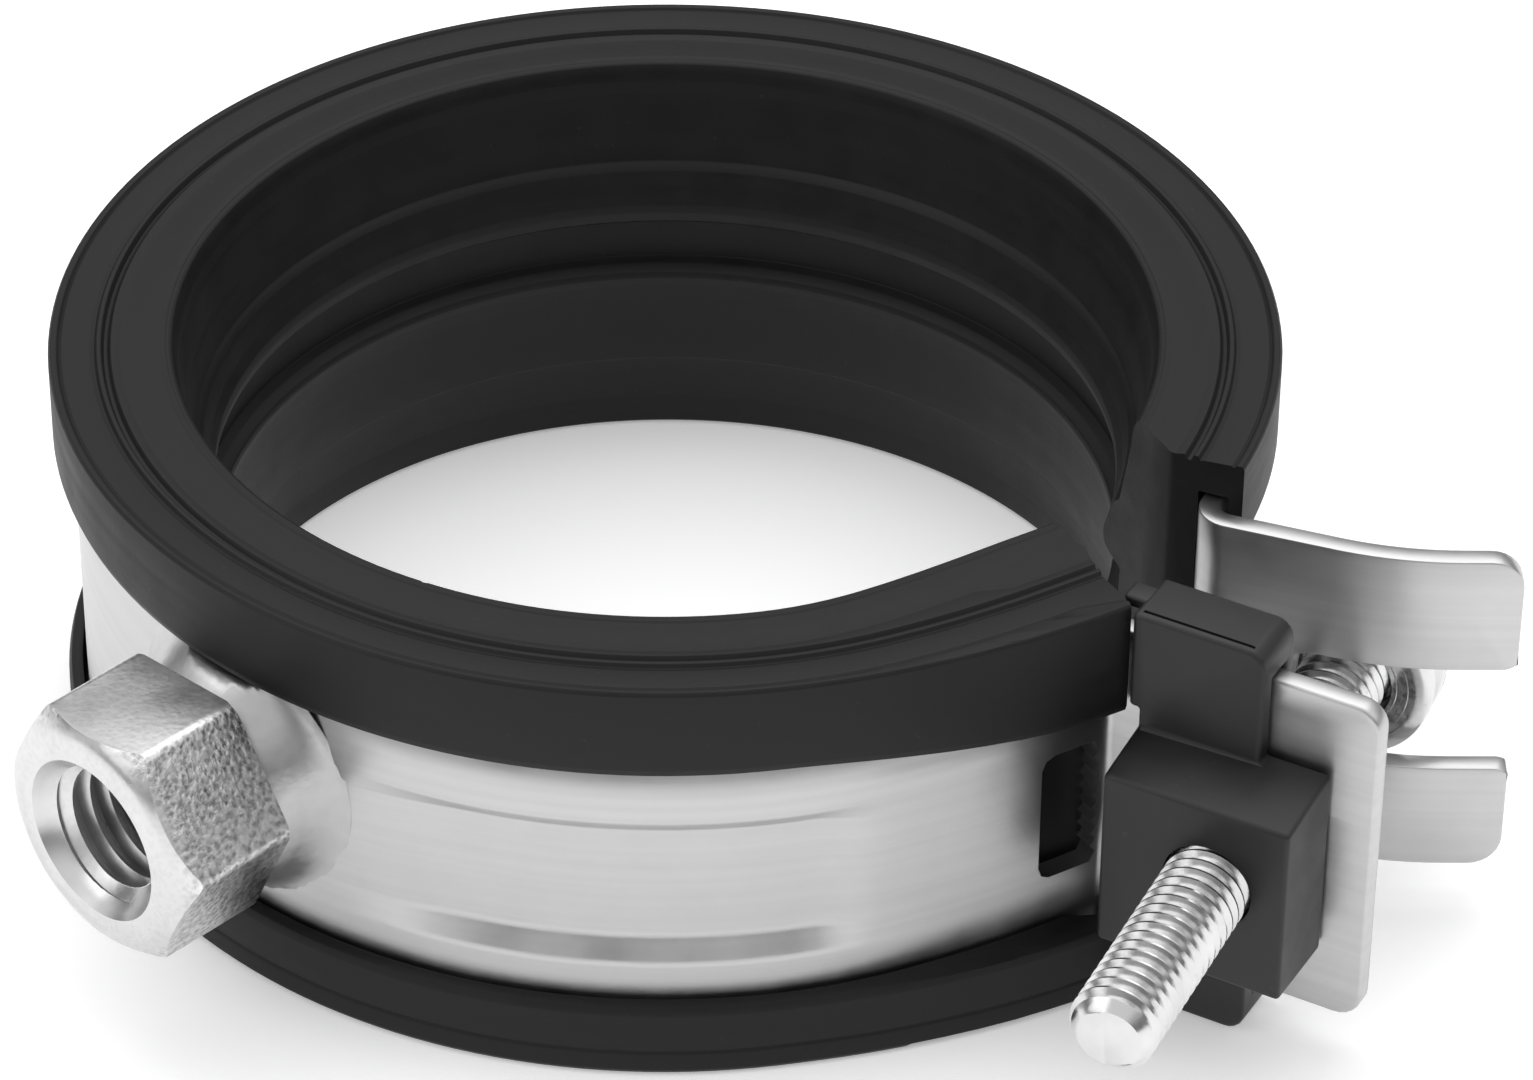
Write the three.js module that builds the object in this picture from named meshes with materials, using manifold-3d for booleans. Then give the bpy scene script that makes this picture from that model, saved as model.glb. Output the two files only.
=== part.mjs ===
// Rubber-lined pipe clamp, closed by one quick-lock screw. Millimetres, +Z along the pipe.
// The plan is drawn with the pipe's centre at 0,0 and half height at z = 0. At the end the
// whole clamp is turned about Z until the weld nut points along +X, and lifted onto z = 0.
import * as THREE from 'three';
import { mergeVertices } from 'three/addons/utils/BufferGeometryUtils.js';
import Module from 'manifold-3d';

const wasm = await Module();
wasm.setup();

// ---- driving dimensions ----
const GAP = 0.3;               // left between any two pieces that touch
const BAND_T = 1.5;            // steel strip thickness
const BAND_H = 25;             // steel strip width
const BAND_R = 39.45;          // radius of the strip's middle
const LINER_H = 31.2;          // rubber height
const LIP_R = 41.5;            // outside of the rubber lips
const LIP_EDGE = 8.8;          // height at which the lips stop on the strip's face
const LIP_EDGE_LOW = -9.9;
const FLARE_AT = 292;          // the front half leaves the circle here, degrees
const FLARE_R = 76;            // and runs on with this larger radius
const FLARE_TURN = 9;          // for this many degrees
const FLARE_STRAIGHT = 2.53;   // then straight to the flange bend
const FLANGE_DIR = 330;        // direction of the flange in plan, degrees
const BEND_R = 1.6;            // radius of the sharp bends, strip middle
const FLANGE_END = 58.8;       // free end of the flange, measured along it
const FLANGE_N = -11.31;       // middle plane of the flange, measured along the screw
const HINGE_AT = 144;          // the two half bands hook together here, degrees
const FORK_AT = -27.3;         // the back half turns outward here, degrees
const FORK_DIR = -20.5;        // direction of the fork next to the bend, degrees
const FORK_ROOT = 7.4;         // straight length next to the bend
const FORK_R = 24;             // then the fork is dished with this radius
const FORK_TURN = 20;          // over this many degrees
const FORK_TIP = 4.0;          // straight tip
const BACK_END = -24.4;        // the rubber of the back half stops here, degrees
const SLOT_TOP = 3.7, SLOT_LOW = -4.4;
const SCREW_DIR = 64.13;       // direction from the screw's tip to its head, degrees
const SCREW_TIP = [27.05, -56.4];
const SCREW_R = 2.9;           // M6
const SCREW_L = 41.1;          // tip to the washer
const WASHER_R = 6, WASHER_T = 1.6;
const HEAD_R = 5.9, HEAD_H = 4.2;
const NUT_AT = 225.3;          // weld nut, degrees
const NUT_AF = 16, NUT_BASE = 43.4, NUT_FACE = 52.4, NUT_Z = 0.7, NUT_TWIST = 3.4;
const NUT_BORE = 4.35, NUT_SINK = 5.6, NUT_NECK = 6.8;
const CLOCK = 134.7;           // final turn that puts the weld nut on +X

const rad = THREE.MathUtils.degToRad;
const polar = (r, a) => new THREE.Vector2(r * Math.cos(rad(a)), r * Math.sin(rad(a)));

// ---- joining and cutting ----
function toSolid(geometry) {
  const g = geometry.clone();
  g.deleteAttribute('normal');
  g.deleteAttribute('uv');
  const m = mergeVertices(g, 1e-4);
  return new wasm.Manifold(new wasm.Mesh({
    numProp: 3,
    vertProperties: new Float32Array(m.attributes.position.array),
    triVerts: new Uint32Array(m.index.array),
  }));
}

function toGeometry(solid) {
  const mesh = solid.getMesh();
  const g = new THREE.BufferGeometry();
  g.setAttribute('position', new THREE.BufferAttribute(new Float32Array(mesh.vertProperties), 3));
  g.setIndex(new THREE.BufferAttribute(new Uint32Array(mesh.triVerts), 1));
  return g;
}

const join = (first, ...rest) => rest.reduce((a, g) => a.add(toSolid(g)), toSolid(first));
const cut = (solid, ...tools) => tools.reduce((a, g) => a.subtract(toSolid(g)), solid);

// ---- plan paths made of arcs and straights ----
class PlanPath extends THREE.Curve {
  constructor(start, heading) {
    super();
    this.points = [start.clone()];
    this.headings = [heading];
    this.arcLengthDivisions = 600;
  }
  get end() { return this.points[this.points.length - 1]; }
  get heading() { return this.headings[this.headings.length - 1]; }
  straight(length) {
    this.points.push(this.end.clone().add(polar(length, this.heading)));
    this.headings.push(this.heading);
    return this;
  }
  turn(radius, degrees, step = 5) {
    const n = Math.max(1, Math.ceil(Math.abs(degrees) / step));
    const side = Math.sign(degrees);
    const centre = this.end.clone().add(polar(radius, this.heading + 90 * side));
    const from = this.heading - 90 * side;
    for (let i = 1; i <= n; i++) {
      const a = (degrees * i) / n;
      this.points.push(centre.clone().add(polar(radius, from + a)));
      this.headings.push(this.heading + degrees / n);
    }
    return this;
  }
  getPoint(t, target = new THREE.Vector3()) {
    const last = this.points.length - 1;
    const i = Math.min(last - 1, Math.floor(t * last));
    const p = this.points[i].clone().lerp(this.points[i + 1], t * last - i);
    return target.set(p.x, p.y, 0);
  }
  // outline of a strip along this path, between two offsets to its left
  outline(left, right) {
    const side = (offset) => this.points.map((p, i) =>
      p.clone().add(polar(offset, this.headings[i] + 90)));
    return new THREE.Shape([...side(right), ...side(left).reverse()]);
  }
}

function upright(shape, low, high) {
  const g = new THREE.ExtrudeGeometry(shape, { depth: high - low, bevelEnabled: false, curveSegments: 6 });
  return g.translate(0, 0, low);
}

const strip = (path, left, right, low, high) => upright(path.outline(left, right), low, high);

// box in plan coordinates turned by an angle: u along the angle, v to its left
function turnedBox(angle, u, v, z) {
  const g = new THREE.BoxGeometry(u[1] - u[0], v[1] - v[0], z[1] - z[0]);
  g.translate((u[0] + u[1]) / 2, (v[0] + v[1]) / 2, (z[0] + z[1]) / 2);
  return g.rotateZ(rad(angle));
}

// a shape drawn in (u, z) and extruded across: u along the angle, from v[0] to v[1] to its left
function acrossPlate(shape, angle, v) {
  const g = new THREE.ExtrudeGeometry(shape, { depth: v[1] - v[0], bevelEnabled: false, curveSegments: 5 });
  g.rotateX(Math.PI / 2);
  g.translate(0, v[1], 0);
  return g.rotateZ(rad(angle));
}

// a turned body whose axis runs from `at` in plan direction `angle`; profile pairs are (r, along)
function turnedBody(profile, at, angle, z, segments) {
  const g = new THREE.LatheGeometry(profile.map(([r, y]) => new THREE.Vector2(r, y)), segments);
  g.rotateZ(-Math.PI / 2);
  g.rotateZ(rad(angle));
  return g.translate(at[0], at[1], z);
}

const screwPoint = (t) => {
  const p = polar(t, SCREW_DIR);
  return [SCREW_TIP[0] + p.x, SCREW_TIP[1] + p.y];
};

// ---- steel strip: front half with window and flange ----
function frontPath(startAt) {
  const path = new PlanPath(polar(BAND_R, startAt), startAt + 90);
  path.turn(BAND_R, FLARE_AT - startAt);
  path.turn(FLARE_R, FLARE_TURN, 4);
  return path;
}

// cutter that leaves a plate with two rounded corners at its free end
function plateTrim(u0, uEnd, r) {
  const h = BAND_H / 2;
  const s = new THREE.Shape();
  s.moveTo(u0, 20).lineTo(uEnd + 5, 20).lineTo(uEnd + 5, -20).lineTo(u0, -20).lineTo(u0, -h);
  s.lineTo(uEnd - r, -h);
  s.absarc(uEnd - r, -h + r, r, -Math.PI / 2, 0, false);
  s.lineTo(uEnd, h - r);
  s.absarc(uEnd - r, h - r, r, 0, Math.PI / 2, false);
  s.lineTo(u0, h);
  return s;
}

// the window by the flange bend: one straight side and one toothed side
function windowShape(u0, u1, low, high) {
  const s = new THREE.Shape();
  const teeth = 8, pitch = (high - low - 1.6) / teeth;
  s.moveTo(u0 + 0.8, low).lineTo(u1 - 0.4, low);
  for (let i = 0; i < teeth; i++) {
    const z = low + 0.8 + i * pitch;
    s.lineTo(u1, z).lineTo(u1 - 0.35, z + pitch / 2);
  }
  s.lineTo(u1, high - 0.8).lineTo(u1 - 0.4, high).lineTo(u0 + 0.8, high);
  s.lineTo(u0, high - 0.8).lineTo(u0, low + 0.8);
  return s;
}

function bandFixed() {
  const path = frontPath(HINGE_AT - 1.9);
  path.straight(FLARE_STRAIGHT);
  path.turn(BEND_R, FLANGE_DIR - path.heading, 14);
  const s = path.end.dot(polar(1, FLANGE_DIR));
  path.straight(FLANGE_END - s);
  let body = join(strip(path, BAND_T / 2, -BAND_T / 2, -BAND_H / 2, BAND_H / 2));
  const hole = turnedBody([[0, 0], [3.6, 0], [3.6, 8], [0, 8]], screwPoint(20), SCREW_DIR, 0, 24);
  body = cut(body, hole,
    acrossPlate(plateTrim(48, FLANGE_END, 1.8), FLANGE_DIR, [FLANGE_N - 3, FLANGE_N + 3]));
  // shallow flat-bottomed channel along the middle of the outer face
  const channel = new PlanPath(polar(BAND_R, 240), 330);
  channel.turn(BAND_R, FLARE_AT - 240);
  channel.turn(FLARE_R, 4, 2);
  body = cut(body, strip(channel, -0.35, -2, -6.3, 3.7));
  // window through the flared end
  const heading = FLARE_AT + 90 - 360 + FLARE_TURN;
  const end = frontPath(HINGE_AT - 1.9).end;
  const u = end.dot(polar(1, heading)), v = end.dot(polar(1, heading + 90));
  body = cut(body, acrossPlate(windowShape(u - 1.9, u + 2.5, -6.4, 3.6), heading, [v - 3, v + 3]));
  // hook slot near the hinge end
  return cut(body, turnedBox(HINGE_AT + 90, [1.3, 4.7], [-BAND_R - 3, -BAND_R + 3], [-7, 7]));
}

// ---- steel strip: back half with the hook and the fork ----
function forkTrim(u0, uEnd, r) {
  const h = BAND_H / 2, slotEnd = u0 + 1.4, q = 1.2;
  const s = new THREE.Shape();
  s.moveTo(u0, 20).lineTo(uEnd + 6, 20).lineTo(uEnd + 6, -20).lineTo(u0, -20).lineTo(u0, -h);
  s.lineTo(uEnd - r, -h);
  s.absarc(uEnd - r, -h + r, r, -Math.PI / 2, 0, false);
  s.lineTo(uEnd, SLOT_LOW - q);
  s.absarc(uEnd - q, SLOT_LOW - q, q, 0, Math.PI / 2, false);
  const half = (SLOT_TOP - SLOT_LOW) / 2;
  s.lineTo(slotEnd + half, SLOT_LOW);
  s.absarc(slotEnd + half, SLOT_LOW + half, half, -Math.PI / 2, Math.PI / 2, true);
  s.lineTo(uEnd - q, SLOT_TOP);
  s.absarc(uEnd - q, SLOT_TOP + q, q, -Math.PI / 2, 0, false);
  s.lineTo(uEnd, h - r);
  s.absarc(uEnd - r, h - r, r, 0, Math.PI / 2, false);
  s.lineTo(u0, h);
  return s;
}

// hook that passes over the end bar of the front half and down through its slot
function hookOutline() {
  const p = new PlanPath(polar(BAND_R, HINGE_AT - 8.3), HINGE_AT - 8.3 + 90);
  p.straight(0.6);
  p.turn(2.2, -38, 19);
  p.straight(1.7);
  p.turn(2.2, 38 + 6, 19);
  p.straight(2.1);
  p.turn(1.3, 80, 20);
  p.straight(1.15);
  return p;
}

function bandSwing() {
  const path = new PlanPath(polar(BAND_R, HINGE_AT - 7), HINGE_AT - 97);
  path.turn(BAND_R, -(HINGE_AT - 7 - FORK_AT - 2.5));
  path.turn(BEND_R, FORK_DIR - path.heading, 22);
  path.straight(FORK_ROOT);
  path.turn(FORK_R, FORK_TURN, 5);
  path.straight(FORK_TIP);
  let body = join(strip(path, BAND_T / 2, -BAND_T / 2, -BAND_H / 2, BAND_H / 2));
  const dir = FORK_DIR + FORK_TURN / 2;
  const tip = path.end.dot(polar(1, dir)), mid = path.end.dot(polar(1, dir + 90));
  body = cut(body, acrossPlate(forkTrim(tip - 18.2, tip, 2.2), dir, [mid - 9, mid + 7]));
  const hook = hookOutline();
  body = body.add(toSolid(strip(hook, BAND_T / 2, -BAND_T / 2, -6, 6)));
  return body;
}

// ---- rubber lining, one section along each half ----
function linerSection() {
  const top = LINER_H / 2;
  const back = BAND_R - BAND_T / 2 - GAP;       // face behind the strip
  const lipIn = BAND_R + BAND_T / 2 + GAP;      // inside of the lips
  const edge = BAND_H / 2 + GAP;
  // (r, z) pairs, once round
  return [
    [33.5, top], [37.3, top], [37.6, top - 0.45], [38.0, top - 0.1], [38.4, top - 0.1],
    [41.0, top], [LIP_R, top - 0.5], [LIP_R, LIP_EDGE + 0.6], [LIP_R - 0.5, LIP_EDGE],
    [lipIn, LIP_EDGE], [lipIn, edge], [back, edge], [back, -edge], [lipIn, -edge],
    [lipIn, LIP_EDGE_LOW], [LIP_R - 0.5, LIP_EDGE_LOW], [LIP_R, LIP_EDGE_LOW - 0.6],
    [LIP_R, -top + 0.5], [41.0, -top], [33.2, -top], [32.6, -top + 0.6],
    [32.6, -12.8], [31.9, -8.9], [31.1, -3.0], [30.8, -0.9], [31.9, -0.1], [31.9, 2.6],
    [30.8, 3.3], [30.9, 4.9], [31.7, 7.7], [32.4, 11.0], [32.8, 13.6], [32.9, 15.0],
  ];
}

function linerAlong(path, steps) {
  const shape = new THREE.Shape(linerSection().map(([r, z]) => new THREE.Vector2(-z, BAND_R - r)));
  return new THREE.ExtrudeGeometry(shape, { steps, extrudePath: path, bevelEnabled: false });
}

const HINGE_GAP = 1.35;   // degrees left free on each side of the hinge line

function linerFixed() {
  const path = frontPath(HINGE_AT + HINGE_GAP);
  path.straight(4);
  // the free end is cut off square to the pipe, slanting slightly in plan
  const inner = new THREE.Vector2(26.1, -24.0), outer = new THREE.Vector2(28.65, -32.5);
  const dir = THREE.MathUtils.radToDeg(Math.atan2(outer.y - inner.y, outer.x - inner.x)) + 90;
  const u = inner.dot(polar(1, dir)), v = inner.dot(polar(1, dir + 90));
  const geometry = linerAlong(path, 36);
  return cut(join(geometry), turnedBox(dir, [u, u + 16], [v - 22, v + 12], [-20, 20]));
}

function linerSwing() {
  const path = new PlanPath(polar(BAND_R, BACK_END), BACK_END + 90);
  path.turn(BAND_R, HINGE_AT - HINGE_GAP - BACK_END);
  return join(linerAlong(path, 36));
}

// ---- weld nut and its weld ----
function weldNut() {
  const hex = new THREE.CylinderGeometry(NUT_AF / Math.sqrt(3), NUT_AF / Math.sqrt(3), 12, 6);
  hex.rotateY(rad(30 + NUT_TWIST));
  hex.rotateZ(-Math.PI / 2);
  hex.translate(NUT_FACE - 6, 0, 0);
  const r = NUT_AF / 2;
  const turned = turnedBody([[0, 40.55], [NUT_NECK, 40.55], [NUT_NECK, NUT_BASE], [r * 1.03, NUT_BASE],
    [r * 1.18, NUT_BASE + 0.6], [r * 1.18, NUT_FACE - 1.3], [r * 0.96, NUT_FACE], [0, NUT_FACE]],
  [0, 0], 0, 0, 36);
  const bore = turnedBody([[0, 38], [NUT_BORE, 38], [NUT_BORE, NUT_FACE - 1.4], [NUT_SINK, NUT_FACE - 0.2],
    [NUT_SINK, NUT_FACE + 2], [0, NUT_FACE + 2]], [0, 0], 0, 0, 32);
  const solid = cut(toSolid(hex).intersect(toSolid(turned)), bore);
  const g = toGeometry(solid);
  g.rotateZ(rad(NUT_AT));
  return toSolid(g.translate(0, 0, NUT_Z));
}

function nutWeld() {
  const r = NUT_NECK + GAP;
  const ring = turnedBody([[r, 38], [r + 3.0, 38], [r + 3.0, 40.4], [r + 2.2, 41.2], [r + 1.1, 42.7],
    [r, 42.9], [r, 38]], [0, 0], 0, 0, 36);
  const inside = new THREE.CylinderGeometry(BAND_R + BAND_T / 2 + GAP, BAND_R + BAND_T / 2 + GAP, 60, 96);
  inside.rotateX(Math.PI / 2);
  const between = new THREE.BoxGeometry(20, 30, LIP_EDGE - LIP_EDGE_LOW - 2 * GAP);
  between.translate(42, 0, (LIP_EDGE + LIP_EDGE_LOW) / 2 - NUT_Z);
  const g = toGeometry(toSolid(ring).subtract(toSolid(inside)).intersect(toSolid(between)));
  g.rotateZ(rad(NUT_AT));
  return toSolid(g.translate(0, 0, NUT_Z));
}

// ---- plastic retainer that carries the square nut on the flange ----
const FRONT = FLANGE_N - BAND_T / 2, BACK = FLANGE_N + BAND_T / 2;

function screwRetainer() {
  const a = FLANGE_DIR, h = BAND_H / 2;
  const bar = [42.8, 51.4];
  const box = new THREE.Shape();   // section across the nut box: (n, z)
  box.moveTo(-18.7, -7.3).lineTo(-18.7, 6.1).lineTo(-13.9, 6.9).lineTo(FRONT - GAP, 6.9);
  box.lineTo(FRONT - GAP, -7.3);
  const block = new THREE.ExtrudeGeometry(box, { depth: 12.9, bevelEnabled: false });
  // drawn in (n, z), extruded along s: n to plan-left, z up
  block.rotateX(Math.PI / 2).rotateZ(Math.PI / 2);
  block.translate(43.0, 0, 0).rotateZ(rad(a));
  let body = join(
    turnedBox(a, bar, [-13.9, FRONT - GAP], [-15.3, 15.5]),
    turnedBox(a, bar, [-13.9, -9.3], [h + GAP, 15.5]),
    turnedBox(a, bar, [-13.9, -9.3], [-15.3, -h - GAP]),
    turnedBox(a, bar, [BACK + GAP, -9.3], [9.4, h + 1]),
    turnedBox(a, bar, [BACK + GAP, -9.3], [-h - 1, -9.4]),
    block);
  const pocket = turnedBox(a, [44.6, 55.2], [-17.55, FRONT + 1], [-5.55, 5.25]);
  const hole = turnedBody([[0, 0], [3.3, 0], [3.3, 12], [0, 12]], screwPoint(12), SCREW_DIR, 0, 24);
  return cut(body, pocket, hole);
}

function squareNut() {
  const g = new THREE.BoxGeometry(4.2, 9.8, 9.8);
  const c = screwPoint(20.45);
  g.rotateZ(rad(SCREW_DIR)).translate(c[0], c[1], 0);
  const hole = turnedBody([[0, 0], [3.2, 0], [3.2, 12], [0, 12]], screwPoint(14), SCREW_DIR, 0, 24);
  return cut(join(g), hole);
}

// ---- screw and washer ----
function headWasher() {
  return join(turnedBody([[3.3, 0], [WASHER_R, 0], [WASHER_R, WASHER_T], [3.3, WASHER_T], [3.3, 0]],
    screwPoint(SCREW_L), SCREW_DIR, 0, 36));
}

function closingScrew() {
  const h0 = SCREW_L + WASHER_T + GAP;
  const body = join(turnedBody([[0, 0], [2.1, 0], [SCREW_R, 0.9], [SCREW_R, h0], [HEAD_R - 0.3, h0],
    [HEAD_R, h0 + 0.4], [HEAD_R, h0 + 1.9], [HEAD_R - 1.0, h0 + 3.2], [3.4, h0 + HEAD_H],
    [0, h0 + HEAD_H]], screwPoint(0), SCREW_DIR, 0, 36));
  const slot = new THREE.BoxGeometry(1.9, 1.3, 9.6);
  const cross = new THREE.BoxGeometry(1.9, 5.2, 1.2);
  for (const g of [slot, cross]) {
    const c = screwPoint(h0 + HEAD_H - 0.6);
    g.rotateZ(rad(SCREW_DIR)).translate(c[0], c[1], 0);
  }
  return cut(body, slot, cross);
}

// ---- assembly ----
const STEEL = { color: 0xcfd2d4, roughness: 0.32, metalness: 1.0 };
const RUBBER = { color: 0x161617, roughness: 0.62, metalness: 0.0 };
const PLASTIC = { color: 0x1d1d1e, roughness: 0.5, metalness: 0.0 };

const group = new THREE.Group();
function place(name, solid, look) {
  const g = toGeometry(solid);
  g.rotateZ(rad(CLOCK)).translate(0, 0, LINER_H / 2);
  const mesh = new THREE.Mesh(g.toNonIndexed(), new THREE.MeshStandardMaterial(look));
  mesh.geometry.computeVertexNormals();
  mesh.name = name;
  group.add(mesh);
}

place('band_fixed', bandFixed(), STEEL);
place('band_swing', bandSwing(), STEEL);
place('liner_fixed', linerFixed(), RUBBER);
place('liner_swing', linerSwing(), RUBBER);
place('weld_nut', weldNut(), STEEL);
place('nut_weld', nutWeld(), STEEL);
place('screw_retainer', screwRetainer(), PLASTIC);
place('square_nut', squareNut(), STEEL);
place('head_washer', headWasher(), STEEL);
place('closing_screw', closingScrew(), STEEL);

export default group;
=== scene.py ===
# %% [markdown]
# # A rubber-lined pipe clamp, modelled as by hand
# The engineering model of the clamp is loaded first and stays fixed. It says where every part
# is and how it moves. This lesson then makes a finer piece for each part that shows, puts it in
# the same place, and hides the plain part behind it.

# %% Load the fixed frame
import math
import bmesh
import bpy
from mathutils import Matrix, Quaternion, Vector


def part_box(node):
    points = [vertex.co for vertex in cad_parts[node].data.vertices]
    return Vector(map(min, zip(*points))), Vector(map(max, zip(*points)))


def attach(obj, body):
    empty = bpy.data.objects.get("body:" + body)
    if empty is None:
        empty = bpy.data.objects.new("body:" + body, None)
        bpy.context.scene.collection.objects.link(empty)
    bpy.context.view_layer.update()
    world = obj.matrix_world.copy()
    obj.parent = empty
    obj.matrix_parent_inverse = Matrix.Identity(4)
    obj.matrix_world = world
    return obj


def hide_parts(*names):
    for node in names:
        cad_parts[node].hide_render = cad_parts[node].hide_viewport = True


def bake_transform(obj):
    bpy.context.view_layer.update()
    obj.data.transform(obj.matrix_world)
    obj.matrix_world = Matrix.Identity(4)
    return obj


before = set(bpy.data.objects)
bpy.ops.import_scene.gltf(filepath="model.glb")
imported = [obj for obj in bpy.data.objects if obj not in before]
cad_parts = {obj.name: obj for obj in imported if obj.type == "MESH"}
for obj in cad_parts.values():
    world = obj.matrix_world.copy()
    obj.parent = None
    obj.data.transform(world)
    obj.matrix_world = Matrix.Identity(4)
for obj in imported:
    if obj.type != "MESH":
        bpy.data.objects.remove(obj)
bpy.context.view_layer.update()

mm = 0.001

# %% [markdown]
# ## Where things are
# Everything is drawn with the pipe's axis as the world's Z and half the height at zero, and with
# the screw closure in front. At the end each piece is turned and lifted once, which brings its
# welded nut onto +X and its lower rim onto the floor, as in the frame. `polar` gives a
# point from a radius in millimetres and an angle in degrees, the way a strip clamp is drawn.

# %% Places on the drawing
CLOCK = 134.7             # degrees from the drawing to the frame
MID = 15.6 * mm           # half height of the lining above the floor
STRIP_R = 39.45           # middle of the steel strip
STRIP_T = 1.5             # its thickness
STRIP_OUT = STRIP_R + STRIP_T / 2
STRIP_EDGE = 12.5         # half its width
HINGE_AT = 144.0          # the two half strips hook together here
REAR_END = -24.4          # the rubber of the back half stops here
FLARE_AT = 292.0          # the front half leaves the circle here
FLARE_R = 76.0            # runs on with this radius
FLARE_TURN = 9.0          # for this many degrees
FLARE_DIR = FLARE_AT + FLARE_TURN - 270
FLANGE_DIR = 330.0        # and its flange points this way
BEND_R = 1.6              # radius of the sharp bends
SCREW_DIR = 64.13         # from the screw's tip to its head


def polar(radius, degrees, z=0.0):
    turn = math.radians(degrees)
    return Vector((radius * math.cos(turn), radius * math.sin(turn), z)) * mm


def on_face(u, v, z, degrees):
    """A point u along a direction, v to its left and z up, in millimetres."""
    return polar(u, degrees) + polar(v, degrees + 90) + Vector((0, 0, z * mm))


def along(point, degrees):
    """How far a point lies along a direction, in mm."""
    return point.dot(polar(1, degrees)) / mm ** 2


SCREW_TIP = Vector((27.05, -56.4, 0)) * mm
print("screw tip on the drawing:", [round(c / mm, 2) for c in SCREW_TIP])

# %% [markdown]
# ## A pencil and an eraser
# Most parts of a clamp are a section pushed along a path. The pencil is one vertex, made by
# merging a small plane, that is extruded from corner to corner. `pick` is how a hand
# would click on faces, edges or corners: it selects those whose middle and direction pass a test.


# %% Draw an outline, pick parts of it
def clear_table():
    if bpy.context.object and bpy.context.object.mode == "EDIT":
        bpy.ops.object.mode_set(mode="OBJECT")
    bpy.ops.object.select_all(action="DESELECT")


def take_up(piece, mode="OBJECT"):
    clear_table()
    piece.select_set(True)
    bpy.context.view_layer.objects.active = piece
    if mode == "EDIT":
        bpy.ops.object.mode_set(mode="EDIT")
        bpy.ops.mesh.select_mode(type="VERT")
        bpy.ops.mesh.select_all(action="SELECT")


def draw(name, points, face=False):
    """Extrudes one vertex from point to point. With face, the outline is closed and filled."""
    clear_table()
    bpy.ops.mesh.primitive_plane_add(size=mm, location=points[0])
    piece = bpy.context.object
    piece.name = piece.data.name = name
    bpy.ops.object.transform_apply()
    take_up(piece, "EDIT")
    bpy.ops.mesh.merge(type="CENTER")
    for here, there in zip(points, points[1:]):
        bpy.ops.mesh.extrude_vertices_move(TRANSFORM_OT_translate={"value": there - here})
    bpy.ops.mesh.select_all(action="SELECT")
    if face:
        bpy.ops.mesh.edge_face_add()
    return piece


def pick(kind, test):
    """Selects the FACE, EDGE or VERT elements for which test(middle, direction) is true."""
    bpy.ops.mesh.select_mode(type=kind)
    bpy.ops.mesh.select_all(action="DESELECT")
    mesh = bmesh.from_edit_mesh(bpy.context.object.data)
    mesh.normal_update()
    count = 0
    for item in {"VERT": mesh.verts, "EDGE": mesh.edges, "FACE": mesh.faces}[kind]:
        if kind == "VERT":
            middle, direction = item.co, item.normal
        elif kind == "EDGE":
            a, b = (v.co for v in item.verts)
            middle, direction = (a + b) / 2, (b - a).normalized()
        else:
            middle, direction = item.calc_center_median(), item.normal
        if test(middle, direction):
            item.select_set(True)
            count += 1
    mesh.select_flush_mode()
    bmesh.update_edit_mesh(bpy.context.object.data)
    return count


print("pencil ready")

# %% [markdown]
# ## Sweeping, cutting and softening
# `sweep` pushes whatever is selected along straights and bends, one extrude or spin for each. A
# bend to the left is positive. The spin operator turns clockwise for a positive angle
# here, so the sign is changed. Cutting uses a Boolean with a throw-away tool, and a
# small bevel on the sharp edges gives the thin bright line that every real edge has.


# %% Sweep along a path
def sweep(start, heading, runs):
    """Runs are (length,) for a straight or (radius, degrees) for a bend, in mm.
    Gives back the point it ends at."""
    here = start.copy()
    for run in runs:
        if len(run) == 1:
            move = polar(run[0], heading)
            bpy.ops.mesh.extrude_region_move(TRANSFORM_OT_translate={"value": move})
            here += move
            continue
        radius, turn = run
        centre = here + polar(radius, heading + math.copysign(90, turn))
        steps = math.ceil(abs(turn) / (2 if radius > 20 else 8))
        bpy.ops.mesh.spin(steps=steps, angle=-math.radians(turn), center=centre, axis=(0, 0, 1))
        spoke = here - centre
        spoke.rotate(Quaternion((0, 0, 1), math.radians(turn)))
        here = centre + spoke
        heading += turn
    return here


def turned(name, profile, origin, axis, steps=64):
    """Lathe work: profile pairs (radius, along) in mm, spun once round an axis."""
    lathe = Vector(axis).normalized()
    across = lathe.orthogonal().normalized()
    points = [origin + (across * r + lathe * t) * mm for r, t in profile]
    piece = draw(name, points, face=True)
    bpy.ops.mesh.delete(type="ONLY_FACE")
    bpy.ops.mesh.select_all(action="SELECT")
    bpy.ops.mesh.spin(steps=steps, angle=2 * math.pi, center=origin, axis=lathe)
    close_up()
    return piece


def close_up():
    """Merges doubles, drops strays and turns the faces outwards."""
    bpy.ops.mesh.select_all(action="SELECT")
    bpy.ops.mesh.remove_doubles(threshold=0.002 * mm)
    bpy.ops.mesh.dissolve_degenerate(threshold=0.001 * mm)
    bpy.ops.mesh.delete_loose()
    bpy.ops.mesh.select_all(action="SELECT")
    bpy.ops.mesh.normals_make_consistent(inside=False)
    if bmesh.from_edit_mesh(bpy.context.object.data).calc_volume(signed=True) < 0:
        bpy.ops.mesh.flip_normals()
    bpy.ops.object.mode_set(mode="OBJECT")


print("path tool and lathe ready")


# %% Thicken, join, cut and soften
def use_modifier(piece, kind, **settings):
    take_up(piece)
    modifier = piece.modifiers.new(kind.lower(), kind)
    for key, value in settings.items():
        setattr(modifier, key, value)
    bpy.ops.object.modifier_apply(modifier=modifier.name)


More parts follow.
